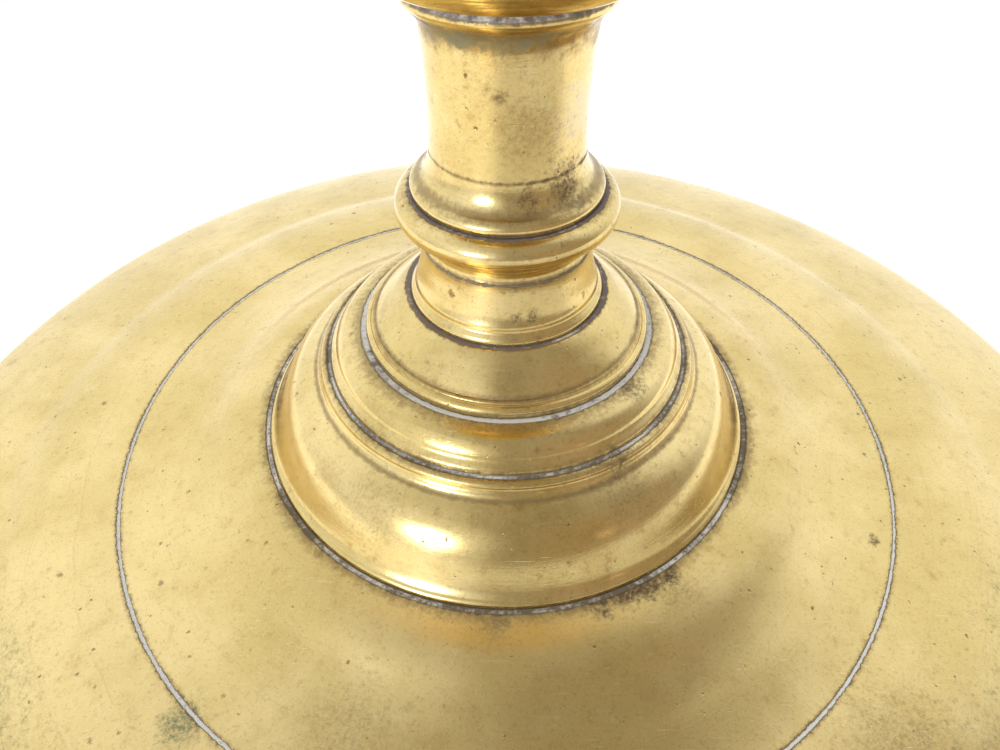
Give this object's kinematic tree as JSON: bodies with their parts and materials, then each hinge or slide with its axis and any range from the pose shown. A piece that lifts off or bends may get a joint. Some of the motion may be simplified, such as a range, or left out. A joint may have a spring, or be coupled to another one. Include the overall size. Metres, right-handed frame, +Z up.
{
  "type": "brass candlestick",
  "caption": "Turned brass candlestick with a wide stepped foot, knopped stem, drip pan, candle socket and a loose lift-out nozzle.",
  "frame": {"origin": "on the stem's axis, at the plane that the foot stands on", "axes": "+Z up along the stem; the object is round about Z, so X and Y are free"},
  "size_m": [0.23, 0.23, 0.2858],
  "materials": {
    "cast_brass": "aged, turned and hand polished, with dark grime in the joint lines",
    "wrought_iron": "dark oxide with light rust"
  },
  "bodies": {
    "stand": {"foot": "cast_brass", "foot_collar": "cast_brass", "stem_flange": "cast_brass", "lower_ring": "cast_brass", "lower_column": "cast_brass", "centre_knop": "cast_brass", "baluster": "cast_brass", "neck_ring": "cast_brass", "drip_pan": "cast_brass", "candle_socket": "cast_brass", "tie_rod": "wrought_iron", "clamp_plate": "wrought_iron", "clamp_nut": "wrought_iron"},
    "nozzle": {"nozzle": "cast_brass"}
  },
  "joints": [
    {"name": "nozzle_lift", "type": "slide", "parent": "stand", "child": "nozzle", "axis": [0, 0, 1], "range_m": [0, 0.09]}
  ]
}
